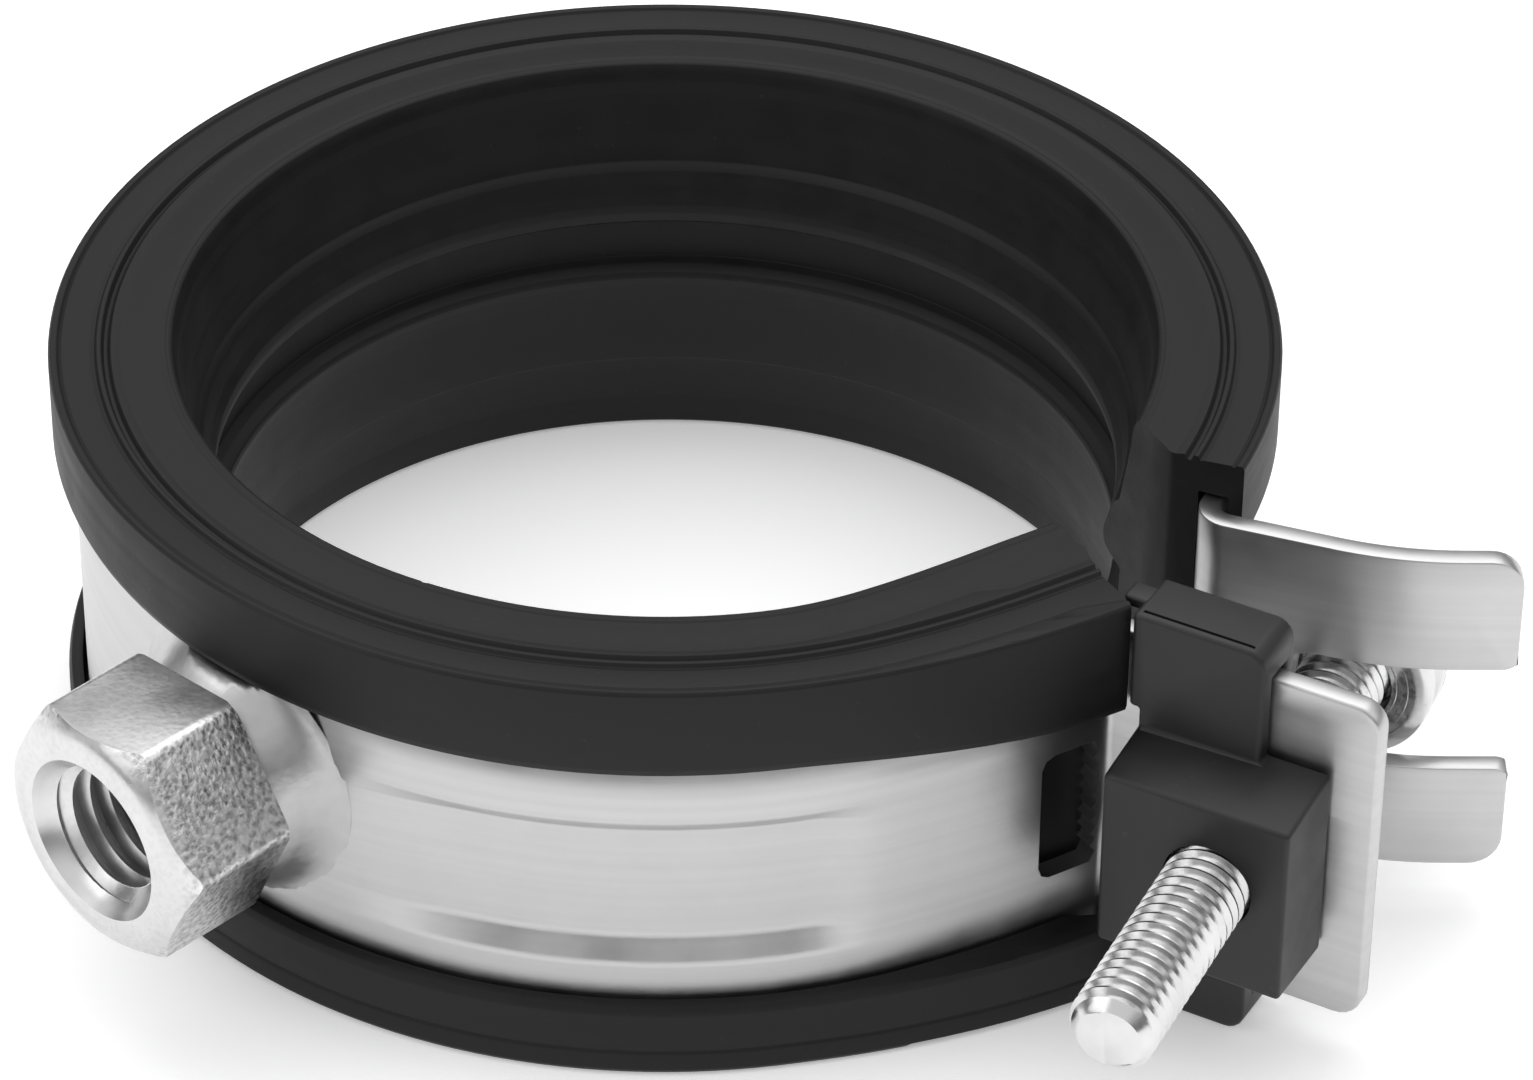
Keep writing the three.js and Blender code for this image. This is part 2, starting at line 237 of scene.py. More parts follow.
def combine(piece, tool, operation="DIFFERENCE"):
    """Boolean of piece with a tool that is thrown away."""
    use_modifier(piece, "BOOLEAN", object=tool, operation=operation, solver="EXACT")
    bpy.data.objects.remove(tool)


def thicken(piece):
    """Gives a ribbon the strip's thickness, half to each side, and closes it."""
    use_modifier(piece, "SOLIDIFY", thickness=STRIP_T * mm, offset=0, use_even_offset=True)
    take_up(piece, "EDIT")
    close_up()


def open_edges(piece):
    mesh = bmesh.new()
    mesh.from_mesh(piece.data)
    count = sum(1 for edge in mesh.edges if len(edge.link_faces) != 2)
    mesh.free()
    return count


def heal(piece):
    """Closes the pinholes that several cuts in a row can leave."""
    take_up(piece, "EDIT")
    bpy.ops.mesh.remove_doubles(threshold=0.01 * mm)
    bpy.ops.mesh.fill_holes(sides=8)
    close_up()


def soften(piece, width, segments=2, angle=50, where=None):
    """Bevels the sharp edges, or only those whose middle passes where."""
    take_up(piece, "EDIT")
    bpy.ops.mesh.select_mode(type="EDGE")
    bpy.ops.mesh.select_all(action="DESELECT")
    bpy.ops.mesh.edges_select_sharp(sharpness=math.radians(angle))
    if where:
        mesh = bmesh.from_edit_mesh(piece.data)
        for edge in mesh.edges:
            if edge.select and not where((edge.verts[0].co + edge.verts[1].co) / 2):
                edge.select_set(False)
        bmesh.update_edit_mesh(piece.data)
    bpy.ops.mesh.bevel(offset=width * mm, segments=segments, affect="EDGES")
    bpy.ops.object.mode_set(mode="OBJECT")


def block(name, u, v, z, degrees=0.0):
    """A cube sized and turned into place; u, v and z are (low, high) in mm."""
    clear_table()
    middle = on_face(sum(u) / 2, sum(v) / 2, sum(z) / 2, degrees)
    size = [(high - low) * mm for low, high in (u, v, z)]
    bpy.ops.mesh.primitive_cube_add(size=1, location=middle)
    piece = bpy.context.object
    piece.name = name
    piece.scale = size
    piece.rotation_euler.z = math.radians(degrees)
    bpy.ops.object.transform_apply()
    return piece


def drill(radius, start, end, vertices=48):
    """A round cutter from start to end."""
    clear_table()
    way = end - start
    bpy.ops.mesh.primitive_cylinder_add(vertices=vertices, radius=radius * mm,
                                        depth=way.length, location=(start + end) / 2,
                                        rotation=way.to_track_quat("Z", "Y").to_euler())
    bpy.ops.object.transform_apply()
    return bpy.context.object


def finish(piece, body, slot, *nodes, turn=CLOCK, lift=MID, smooth=35):
    """Moves a drawn piece into the frame, smooths it, hangs it on its body, hides the plain parts it
    stands for and prints how far it lies off the first.
    """
    take_up(piece)
    piece.rotation_euler.z = math.radians(turn)
    piece.location.z = lift
    bpy.ops.object.transform_apply()
    bpy.ops.object.shade_smooth_by_angle(angle=math.radians(smooth))
    if body:
        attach(piece, body)
    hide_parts(*nodes)
    low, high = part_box(nodes[0])
    mine = [v.co for v in piece.data.vertices]
    off = max(max(abs(min(c[i] for c in mine) - low[i]), abs(max(c[i] for c in mine) - high[i]))
              for i in range(3))
    print(piece.name, len(piece.data.polygons), "faces,", round(off / mm, 2), "mm off its node")
    return piece


# %% [markdown]
# ## The rubber lining
# The lining is one extruded strip of black rubber that grips the steel strip with two lips, and
# has ribs inside that press on the pipe. A lathe-like spin of its section is the natural way to
# make it. The section is drawn once, corner by corner, with the grooves of the rims and the
# ribs, its corners are rounded with a vertex bevel, and it is swept round the whole clamp in one
# piece, so it has no seam at the hinge.

# %% Rubber section
TOP = 15.6
rim = [(33.0, 14.9), (33.2, 15.45), (33.5, 15.62), (33.72, 15.5), (34.1, 15.58), (35.5, 15.45),
       (36.7, 15.3), (37.3, 15.45), (37.5, 15.1), (37.78, 15.05), (37.95, 15.5), (38.25, 15.52),
       (38.42, 15.2), (38.7, 15.3), (40.6, 15.42), (40.78, 15.28), (40.92, 15.5), (41.3, 15.55),
       (41.5, 15.3)]
upper_lip = [(41.5, 9.5), (41.3, 8.95), (40.9, 8.8), (40.5, 8.8), (40.5, 12.8), (38.4, 12.8)]
lower_lip = [(38.4, -12.8), (40.5, -12.8), (40.5, -9.9), (40.9, -9.9), (41.3, -10.05),
             (41.5, -10.6), (41.5, -13.4), (41.38, -13.6), (41.5, -13.8), (41.5, -15.1),
             (41.1, -TOP), (33.3, -TOP), (32.8, -15.2)]
inner_wall = [(32.6, -12.9), (32.2, -11.0), (31.85, -9.1), (31.6, -8.8), (31.4, -6.0),
              (31.15, -3.2), (30.95, -1.9), (30.75, -1.3), (30.85, -0.8), (31.5, -0.4),
              (32.2, -0.2), (32.3, 2.7), (31.7, 3.0), (30.9, 3.6), (30.7, 4.4), (30.75, 5.1),
              (31.1, 6.0), (31.45, 7.5), (31.7, 7.85), (31.95, 8.1), (32.2, 9.6), (32.5, 11.4),
              (32.8, 13.3), (32.85, 14.3)]
section = rim + upper_lip + lower_lip + inner_wall
print(len(section), "corners in the rubber section")

# %% Sweep the lining
lining = draw("rubber_lining", [polar(r, REAR_END, z) for r, z in section], face=True)
bpy.ops.mesh.bevel(offset=0.07 * mm, segments=2, affect="VERTICES", clamp_overlap=True)
bpy.ops.mesh.select_all(action="SELECT")
sweep(polar(STRIP_R, REAR_END), REAR_END + 90, [(STRIP_R, FLARE_AT - REAR_END),
                                                    (FLARE_R, FLARE_TURN), (4,)])
# the front end is cut off along a slanting line
END_IN, END_OUT = Vector((26.1, -24.0, 0)) * mm, Vector((29.2, -32.4, 0)) * mm
cut_way = Vector((END_IN.y - END_OUT.y, END_OUT.x - END_IN.x, 0)).normalized()
pick("FACE", lambda c, n: c.x > 12 * mm and c.y < -18 * mm)
bpy.ops.mesh.bisect(plane_co=END_IN, plane_no=cut_way, use_fill=True, clear_outer=True)
close_up()
# and the inner corner of the rear end is cut away
corner = polar(36.3, REAR_END)
FACET = REAR_END - 35
u, v = along(corner, FACET), along(corner, FACET + 90)
combine(lining, block("corner_cutter", (u - 8, u), (v - 5, v), (-20, 20), FACET))
print("lining:", len(lining.data.vertices), "corners,", open_edges(lining), "open edges")

# %% [markdown]
# The rubber is pinched where the front half flares out: its inner top edge stands a little
# further in there, the lips stand out, and the upper one hangs lower. These are small moves of
# chosen corners, as with a sculpting brush. A nick in the inner edge is cut with a ball, and the
# lining stays fixed in the frame.


# %% Shape the ends, cut the nick, set the lining in the frame
def rise(value, low, high):
    """0 below low, 1 above high, and a soft curve between them."""
    t = min(1.0, max(0.0, (value - low) / (high - low)))
    return t * t * (3 - 2 * t)


def ramp_up(value, low, high):
    """0 below low, 1 above high, and straight between them."""
    return min(1.0, max(0.0, (value - low) / (high - low)))


def round_angle(c):
    return math.degrees(math.atan2(c.y, c.x)) % 360


take_up(lining)
for vertex in lining.data.vertices:
    c = vertex.co
    angle, z, radius = round_angle(c), c.z / mm, c.xy.length / mm
    near_end = rise(angle, 280, 312) if angle < 330 else 0.0
    outward = Vector((c.x, c.y, 0)).normalized()
    if radius < 37.2 and z > 0:
        vertex.co -= outward * near_end * mm * min(1.0, z / 11)
    if radius > 40.8 + near_end and abs(z) > 8:
        vertex.co += outward * near_end * (0.9 if z > 0 else 1.6) * mm
        if 8 < z < 10.6:
            vertex.co.z -= 1.9 * near_end * mm
clear_table()
bpy.ops.mesh.primitive_uv_sphere_add(segments=16, ring_count=10, radius=0.55 * mm,
                                     location=polar(33.0, 242.3, TOP + 0.25))
combine(lining, bpy.context.object)
finish(lining, None, "liner_rubber", "liner_fixed", "liner_swing", smooth=40)


def in_frame(point):
    moved = point.copy()
    moved.rotate(Quaternion((0, 0, 1), math.radians(CLOCK)))
    return moved + Vector((0, 0, MID))


hinge = polar(STRIP_R, HINGE_AT)
half_bend = polar(3.2, HINGE_AT - 90)
in_frame(hinge - half_bend)
in_frame(hinge + half_bend)
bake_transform(lining)
print("the lining bends at", [round(c / mm, 1) for c in in_frame(hinge)])

# %% [markdown]
# ## The front half of the strip
# This is 25 mm steel strip, 1.5 mm thick. A ribbon is the easiest start: one upright line of
# corners is swept round the half circle, out along the flare, through the sharp bend and along
# the flange, and a Solidify modifier gives it its thickness. The line has extra corners where
# the pressed channel's edges run and where the strip rolls in under the upper lip. Both are
# then pushed in, and the window, the screw hole and the hook slot are cut.


# %% Ribbon, thickness and rounded corners
def round_tip(end, radius, segments):
    """Rounds the two corners at the end of the ribbon in hand."""
    pick("VERT", lambda c, n: (c - end).xy.length < 0.1 * mm and abs(c.z) > 12 * mm)
    bpy.ops.mesh.bevel(offset=radius * mm, segments=segments, affect="VERTICES")


ROWS = [-STRIP_EDGE, -10.0, -8.6, -7.6, -7.35, -7.05, -5.75, -5.45, -5.2, 3.0, 3.2, 4.1, 4.3,
        5.2, 5.9, 6.6, 7.3, 8.0, 8.6, 10.2, STRIP_EDGE]
FRONT_AT = HINGE_AT - 1.9
start = polar(STRIP_R, FRONT_AT)
front = draw("clamp_strip_front", [start + Vector((0, 0, z * mm)) for z in ROWS])
bend_end = sweep(start, FRONT_AT + 90, [(STRIP_R, FLARE_AT - FRONT_AT), (FLARE_R, FLARE_TURN),
                                        (2.53,), (BEND_R, FLANGE_DIR - 360 - FLARE_DIR)])
FLANGE_END = 58.8         # free end of the flange, measured along it
flange_left = FLANGE_END - along(bend_end, FLANGE_DIR)
free_end = sweep(bend_end, FLANGE_DIR, [(flange_left,)])
round_tip(free_end, 1.8, 6)
thicken(front)
soften(front, 0.22)
print("flange is", round(flange_left, 2), "mm long;", open_edges(front), "open edges")

# %% Press the channel
PRESSED = 0.8             # depth of the channel
ROLLED = 1.0              # how far the upper edge is rolled in under the lip
touched = 0
for vertex in front.data.vertices:
    c = vertex.co
    angle, z = round_angle(c), c.z / mm
    if not (170 < angle < 318 and abs(z) < 12) or c.xy.length < STRIP_R * mm:
        continue
    ends = rise(angle, 237, 252) * (1 - rise(angle, 284, 289))
    floor_part = ramp_up(z, -7.35, -5.45) * (1 - ramp_up(z, 3.2, 4.1))
    depth = PRESSED * ends * floor_part + ROLLED * ramp_up(z, 5.2, 8.6) ** 2
    vertex.co -= Vector((c.x, c.y, 0)).normalized() * depth * mm
    touched += 1
print(touched, "corners of the outer face shaped")

# %% Window with its toothed edge
flare_end = polar(FLARE_R - STRIP_R, FLARE_AT - 180) + polar(FLARE_R, FLARE_DIR - 90)
u0, v0 = along(flare_end, FLARE_DIR), along(flare_end, FLARE_DIR + 90)
left, right, low, high = u0 - 1.9, u0 + 2.5, -6.4, 3.6
TEETH = 8
tooth = (high - low - 1.6) / TEETH
edge = [(left + 0.8, low), (right - 0.4, low)]
for i in range(TEETH):
    z = low + 0.8 + i * tooth
    edge += [(right, z), (right - 0.12, z + 0.2 * tooth), (right - 0.42, z + 0.45 * tooth),
             (right - 0.12, z + 0.7 * tooth)]
edge += [(right, high - 0.8), (right - 0.4, high), (left + 1.0, high), (left + 0.3, high - 0.3),
         (left, high - 1.0), (left, low + 1.0), (left + 0.25, low + 0.3)]
window = draw("window_cutter", [on_face(u, v0 - 3, z, FLARE_DIR) for u, z in edge], face=True)
bpy.ops.mesh.extrude_region_move(TRANSFORM_OT_translate={"value": polar(6, FLARE_DIR + 90)})
close_up()
combine(front, window)
combine(front, drill(3.6, SCREW_TIP + polar(20, SCREW_DIR), SCREW_TIP + polar(29, SCREW_DIR)))
combine(front, block("hook_slot", (1.3, 4.7), (-STRIP_R - 3, -STRIP_R + 3), (-7, 7), HINGE_AT + 90))
finish(front, "front_half", "band_steel", "band_fixed", smooth=70)
print("window", round(right - left, 1), "by", high - low, "mm;", open_edges(front), "open edges")

# %% [markdown]
# ## The back half of the strip and its fork
# The back half is the same strip. It turns sharply outward at the closure and ends in a dished
# fork, so that the screw can be swung in sideways and its washer then sits in the dish. At
# the other end a narrow hook passes through the slot of the front half.

# %% Back ribbon
BACK_AT = HINGE_AT - 7
start = polar(STRIP_R, BACK_AT)
rear = draw("clamp_strip_back", [start + Vector((0, 0, z * mm))
                                 for z in (-STRIP_EDGE, -9, 9, STRIP_EDGE)])
tip = sweep(start, BACK_AT - 90, [(STRIP_R, -161.8), (BEND_R, 94.3), (7.4,), (24, 20), (4,)])
round_tip(tip, 2.2, 7)
thicken(rear)
print("fork tip on the drawing:", [round(c / mm, 1) for c in tip])

# %% Slot of the fork
FORK_DIR = -10.5          # the fork's plate, on average, points this way
tip_u, tip_v = along(tip, FORK_DIR), along(tip, FORK_DIR + 90)
SLOT_LOW, SLOT_TOP, MOUTH = -4.4, 3.7, 1.2
half = (SLOT_TOP - SLOT_LOW) / 2
root_u = tip_u - 16.8 + half


def arc(u, z, radius, start, end, steps=8):
    angles = [math.radians(start + (end - start) * i / steps) for i in range(steps + 1)]
    return [(u + radius * math.cos(a), z + radius * math.sin(a)) for a in angles]


slot = arc(root_u, (SLOT_TOP + SLOT_LOW) / 2, half, 90, 270, 16)
slot += arc(tip_u + 0.35 - MOUTH, SLOT_LOW - MOUTH, MOUTH, 90, 0)
slot += [(tip_u + 3, SLOT_LOW - MOUTH), (tip_u + 3, SLOT_TOP + MOUTH)]
slot += arc(tip_u + 0.35 - MOUTH, SLOT_TOP + MOUTH, MOUTH, 0, -90)
cutter = draw("slot_cutter", [on_face(u, tip_v - 9, z, FORK_DIR) for u, z in slot], face=True)
bpy.ops.mesh.extrude_region_move(TRANSFORM_OT_translate={"value": polar(16, FORK_DIR + 90)})
close_up()
combine(rear, cutter)
soften(rear, 0.2)
print("slot", round(2 * half, 1), "mm wide;", open_edges(rear), "open edges")

# %% Hook through the front half's slot
start = polar(STRIP_R, HINGE_AT - 8.3)
hook = draw("hook", [start + Vector((0, 0, z * mm)) for z in (-6, 6)])
sweep(start, HINGE_AT + 81.7, [(0.6,), (2.2, -38), (1.7,), (2.2, 44), (2.1,), (1.3, 80), (1.15,)])
thicken(hook)
soften(hook, 0.2)
combine(rear, hook, "UNION")
finish(rear, "back_half", "band_steel", "band_swing")
print("back strip with hook:", open_edges(rear), "open edges")

# %% [markdown]
# ## Screw threads
# A thread is one small tooth outline that climbs by its pitch each turn, which is exactly what
# the Screw modifier does. The same threaded bar is used twice: as the closing screw,
# and as a tap that cuts the thread inside the welded nut.


# %% Threaded bar
def threaded_bar(name, root, crest, pitch, turns):
    """A bar with real thread, standing on the origin along +Z and cut flat at both ends."""
    tooth = [(root, 0), (root, 0.1 * pitch), (crest, 0.43 * pitch), (crest, 0.58 * pitch),
             (root, 0.92 * pitch), (root, pitch)]
    bar = draw(name, [Vector((r, 0, z)) * mm for r, z in tooth])
    use_modifier(bar, "SCREW", screw_offset=pitch * mm, iterations=turns, steps=40,
                 render_steps=40, use_merge_vertices=True, merge_threshold=0.001 * mm)
    take_up(bar, "EDIT")
    bpy.ops.mesh.remove_doubles(threshold=0.002 * mm)
    half_way = turns * pitch / 2 * mm
    for upper in (False, True):
        bpy.ops.mesh.select_mode(type="EDGE")
        bpy.ops.mesh.select_all(action="DESELECT")
        bpy.ops.mesh.select_non_manifold(use_wire=False, use_multi_face=False,
                                         use_non_contiguous=False, use_verts=False)
        mesh = bmesh.from_edit_mesh(bar.data)
        for edge in mesh.edges:
            if edge.select and (edge.verts[0].co.z > half_way) != upper:
                edge.select_set(False)
        bmesh.update_edit_mesh(bar.data)
        bpy.ops.mesh.edge_face_add()
    close_up()
    return bar


trial = threaded_bar("trial", 2.45, 2.95, 1.0, 5)
print("five turns:", len(trial.data.polygons), "faces,", open_edges(trial), "open edges")
bpy.data.objects.remove(trial)

# %% [markdown]
# ## The welded nut
# A big hexagon nut is welded to the strip for a threaded rod. A hexagonal bar is met with a
# turned shape, which leaves the curved chamfers that real nuts have where a cone cuts
# their corners. Then the tap cuts the thread and a cone opens the mouth.
# The nut is drawn straight in the frame, because its axis is +X there.

# %% Nut body
NUT_Z = 16.3 * mm
NUT_AF = 16.0             # across the flats
NUT_BASE, NUT_FACE = 43.4, 52.4
NUT_TWIST = 3.4           # degrees that the welded nut stands askew
nut_middle = Vector((0, 0, NUT_Z))


def hexagon_corner(i):
    turn, reach = math.radians(30 + NUT_TWIST + 60 * i), NUT_AF / math.sqrt(3) * mm
    return Vector((NUT_BASE * mm, -reach * math.sin(turn), NUT_Z + reach * math.cos(turn)))


nut = draw("weld_nut_m10", [hexagon_corner(i) for i in range(6)], face=True)
bpy.ops.mesh.extrude_region_move(
    TRANSFORM_OT_translate={"value": ((NUT_FACE - NUT_BASE) * mm, 0, 0)})
close_up()
soften(nut, 0.45, segments=3, where=lambda c: 44 * mm < c.x < 52 * mm)
envelope = turned("nut_envelope", [(0, 43.0), (8.3, 43.0), (9.5, 43.75), (9.5, 50.6), (8.75, 51.3),
                                   (8.1, 51.85), (7.6, 52.15), (7.0, NUT_FACE), (0, NUT_FACE)],
                  nut_middle, (1, 0, 0), 72)
combine(nut, envelope, "INTERSECT")
neck = turned("nut_neck", [(0, 40.55), (6.8, 40.55), (6.8, 43.9), (0, 43.9)],
              nut_middle, (1, 0, 0), 72)
combine(nut, neck, "UNION")
print("nut body", len(nut.data.polygons), "faces;", open_edges(nut), "open edges")

# %% Tap the nut
tap = threaded_bar("tap", 4.25, 5.0, 1.5, 12)
tap.rotation_euler = (0, math.pi / 2, 0)
tap.location = (37 * mm, 0, NUT_Z)
take_up(tap)
bpy.ops.object.transform_apply()
combine(nut, tap)
mouth = turned("mouth_cutter", [(0, 50.6), (4.3, 50.6), (5.1, 51.35), (5.45, 51.9), (5.75, NUT_FACE),
                                (5.75, 53.5), (0, 53.5)], nut_middle, (1, 0, 0), 72)
combine(nut, mouth)
heal(nut)
finish(nut, "front_half", "nut_steel", "weld_nut", turn=0, lift=0, smooth=32)
print("tapped nut", open_edges(nut), "open edges")

# %% [markdown]
# ## The weld under the nut
# The weld shows as a raised collar between the nut and the strip. It is turned like a washer with
# a hollow slope, then cut by the round of the strip and by the rubber lips above and below.
# A small random push of its corners keeps it from looking machined.

# %% Weld collar
weld = turned("weld_collar", [(7.05, 38.0), (9.9, 38.0), (9.9, 40.15), (9.5, 40.23), (9.1, 40.34),
                              (8.7, 40.56), (8.3, 40.95), (7.9, 41.6), (7.5, 42.5), (7.05, 43.1)],
              nut_middle, (1, 0, 0), 96)
for vertex in weld.data.vertices:
    c = vertex.co
    if c.x > 39 * mm:
        share = ramp_up(math.hypot(c.y, c.z - NUT_Z) / mm, 7, 9.4)
        strip_face = STRIP_OUT * mm
        c.x -= (strip_face - math.sqrt(strip_face ** 2 - c.y ** 2)) * share
take_up(weld, "EDIT")
pick("VERT", lambda c, n: n.x > 0.2)
bpy.ops.transform.vertex_random(offset=0.03 * mm, uniform=0.2, seed=4)
bpy.ops.object.mode_set(mode="OBJECT")
combine(weld, drill(STRIP_OUT - 0.1, Vector((0, 0, -0.01)), Vector((0, 0, 0.05)), 256))
for height, way in ((6.0, -1), (24.1, 1)):
    take_up(weld, "EDIT")
    bpy.ops.mesh.bisect(plane_co=(0, 0, height * mm), plane_no=(0, 0, way), use_fill=True,
                        clear_outer=True)
    close_up()
finish(weld, "front_half", "nut_steel", "nut_weld", turn=0, lift=0, smooth=50)
print("weld", open_edges(weld), "open edges")

# %% [markdown]
# ## The plastic retainer
# A moulded clip hooks round the flange and holds the square nut in a box. Its parts
# are blocks, drawn along the flange (s), across it (n) and up (z), joined, and then rounded
# all over, because a mould leaves no sharp corner. Pocket and screw hole are cut last, so
# that they stay crisp.

# %% Blocks of the retainer
FACE_N = -12.36           # flange's outer face, less the play
clip_side = [(-13.9, -15.3), (-13.9, 15.5), (-9.3, 15.5), (-9.3, 9.4), (-10.3, 9.4), (-10.3, 12.8),
             (FACE_N, 12.8), (FACE_N, -12.8), (-10.3, -12.8), (-10.3, -9.4), (-9.3, -9.4),
             (-9.3, -15.3)]
box_side = [(-18.7, -7.3), (-18.7, 6.1), (-13.9, 6.9), (FACE_N, 6.9), (FACE_N, -7.3)]


def push_side(name, side, start, length):
    """Draws a side view (n, z) at s = start and extrudes it along s."""
    piece = draw(name, [Vector((start, n, z)) * mm for n, z in side], face=True)
    bpy.ops.mesh.extrude_region_move(TRANSFORM_OT_translate={"value": (length * mm, 0, 0)})
    close_up()
    return piece


CLIP_AT = 42.8            # the clip starts here along the flange
retainer = push_side("screw_retainer_clip", clip_side, CLIP_AT, 8.6)
take_up(retainer, "EDIT")
pick("EDGE", lambda c, d: abs(d.y) > 0.9 and c.x > 51 * mm and abs(c.z) > 15 * mm)
bpy.ops.mesh.bevel(offset=1.3 * mm, segments=5, affect="EDGES")
bpy.ops.object.mode_set(mode="OBJECT")
combine(retainer, push_side("nut_box", box_side, CLIP_AT, 13.1), "UNION")
cheek_side = [(-13.9, 8.2), (-13.9, 15.5), (-9.3, 15.5), (-9.3, 12.8), (FACE_N, 12.8),
              (FACE_N, 8.2)]
combine(retainer, push_side("cheek", cheek_side, 42.1, 1.2), "UNION")
soften(retainer, 0.33, segments=3, angle=40)
lug = block("lug", (40.6, 43.6), (-12.2, -10.4), (14.5, 15.45))
soften(lug, 0.3, segments=3)
combine(retainer, lug, "UNION")
print("blocks joined:", len(retainer.data.polygons), "faces")

# %% Groove, pocket and screw hole
combine(retainer, block("parting_groove", (42.6, 50.4), (-13.4, -13.15), (15.3, 16.5)))
combine(retainer, block("pocket", (44.6, 55.2), (-17.55, -11.5), (-5.55, 5.25)))
local_tip = Vector((along(SCREW_TIP, FLANGE_DIR), along(SCREW_TIP, FLANGE_DIR + 90), 0)) * mm
local_way = SCREW_DIR - FLANGE_DIR
combine(retainer, drill(3.12, local_tip + polar(8, local_way), local_tip + polar(24, local_way)))
heal(retainer)
finish(retainer, "front_half", "retainer_plastic", "screw_retainer", turn=CLOCK + FLANGE_DIR)
print("retainer", open_edges(retainer), "open edges")

# %% [markdown]
# ## The closing screw and its washer
# The screw is M6 with a flat chamfered tip and a slotted head. The threaded bar is met with a
# turned envelope, which gives the tip its chamfer and ends the thread, and the turned head
# is joined on. The washer under the head has fine turned rings on its underside.

# %% Screw
WASHER_AT, WASHER_T = 41.1, 1.6
head_at = WASHER_AT + WASHER_T + 0.3
screw = threaded_bar("closing_screw_m6", 2.42, 2.95, 1.0, 45)
envelope = turned("screw_envelope", [(0, 0), (1.9, 0), (2.05, 0.06), (2.5, 0.55), (3.05, 1.15),
                                     (3.05, 44.2), (0, 44.2)], Vector(), (0, 0, 1))
take_up(screw)
screw.location.z = -0.4 * mm
bpy.ops.object.transform_apply()
combine(screw, envelope, "INTERSECT")
head = turned("screw_head", [(0, head_at), (5.3, head_at), (5.65, head_at + 0.1),
                             (5.85, head_at + 0.4), (5.9, head_at + 0.8), (5.9, head_at + 1.9),
                             (5.75, head_at + 2.4), (5.3, head_at + 2.95), (4.5, head_at + 3.5),
                             (3.5, head_at + 3.95), (2.4, head_at + 4.15), (0, head_at + 4.2)],
              Vector(), (0, 0, 1))
combine(screw, head, "UNION")
for x, y in ((0.65, 6.2), (2.6, 0.6)):
    combine(screw, block("recess", (-x, x), (-y, y), (head_at + 2.7, head_at + 5)))
print("screw", len(screw.data.polygons), "faces;", open_edges(screw), "open edges")


# %% Lay the screw on its axis
def lay_on_screw_axis(piece):
    """Turns a piece drawn along +Z onto the screw's axis."""
    take_up(piece)
    piece.rotation_euler = (0, math.pi / 2, math.radians(SCREW_DIR))
    piece.location = SCREW_TIP
    bpy.ops.object.transform_apply()


lay_on_screw_axis(screw)
finish(screw, "screw", "screw_steel", "closing_screw", smooth=38)
rings = [(3.3, 0.1), (3.4, 0), (3.7, 0), (3.75, 0.1), (4.1, 0.1), (4.15, 0), (4.5, 0), (4.55, 0.1),
         (4.9, 0.1), (4.95, 0), (5.7, 0)]
rounded_rim = [(5.92, 0.12), (6.0, 0.4), (6.0, 1.2), (5.92, 1.48), (5.7, WASHER_T), (3.3, WASHER_T)]
washer = turned("head_washer_turned", [(r, WASHER_AT + t) for r, t in rings + rounded_rim],
                Vector(), (0, 0, 1), 72)
lay_on_screw_axis(washer)
finish(washer, "washer", "screw_steel", "head_washer", smooth=38)

# %% [markdown]
# ## Finishes: a small kit of effects
# Every finish here needs the same few things: a way to run a pattern round the pipe, a fine
# grain, and sparse marks from handling. Each is a node group, built once, that puts out only a
# pattern. The shader and its steady values stay in each material.


# %% Node helper and the three effects
def put(tree, kind, inputs=None, **settings):
    """Adds a node; inputs may be plain values or sockets to link."""
    node = tree.nodes.new(kind)
    for key, value in settings.items():
        setattr(node, key, value)
    for key, value in (inputs or {}).items():
        if isinstance(value, bpy.types.NodeSocket):
            tree.links.new(value, node.inputs[key])
        else:
            node.inputs[key].default_value = value
    return node


def new_group(name, ins, outs):
    tree = bpy.data.node_groups.new(name, "ShaderNodeTree")
    for label, kind, default in ins:
        socket = tree.interface.new_socket(label, in_out="INPUT", socket_type=kind)
        if default is not None:
            socket.default_value = default
    for label, kind in outs:
        tree.interface.new_socket(label, in_out="OUTPUT", socket_type=kind)
    return tree, put(tree, "NodeGroupInput").outputs, put(tree, "NodeGroupOutput")


def math_node(tree, operation, a, b=0.0):
    return put(tree, "ShaderNodeMath", {0: a, 1: b}, operation=operation).outputs[0]


FLOAT, VECTOR = "NodeSocketFloat", "NodeSocketVector"
tree, taken, given = new_group("round_the_pipe", [], [("Vector", VECTOR)])
where = put(tree, "ShaderNodeTexCoord").outputs["Object"]
# the cut in the angle is turned into the clamp's own gap, where there is nothing to see
TO_GAP = math.radians(81.3)
facing = put(tree, "ShaderNodeMapping", {"Vector": where, "Rotation": (0, 0, TO_GAP)})
split = put(tree, "ShaderNodeSeparateXYZ", {0: facing.outputs[0]}).outputs
angle = math_node(tree, "ARCTAN2", split[1], split[0])
flat = put(tree, "ShaderNodeCombineXYZ", {0: split[0], 1: split[1]}).outputs[0]
radius = put(tree, "ShaderNodeVectorMath", {0: flat}, operation="LENGTH").outputs["Value"]
rolled = put(tree, "ShaderNodeCombineXYZ", {0: math_node(tree, "MULTIPLY", angle, 0.04),
                                            1: radius, 2: split[2]})
tree.links.new(rolled.outputs[0], given.inputs[0])

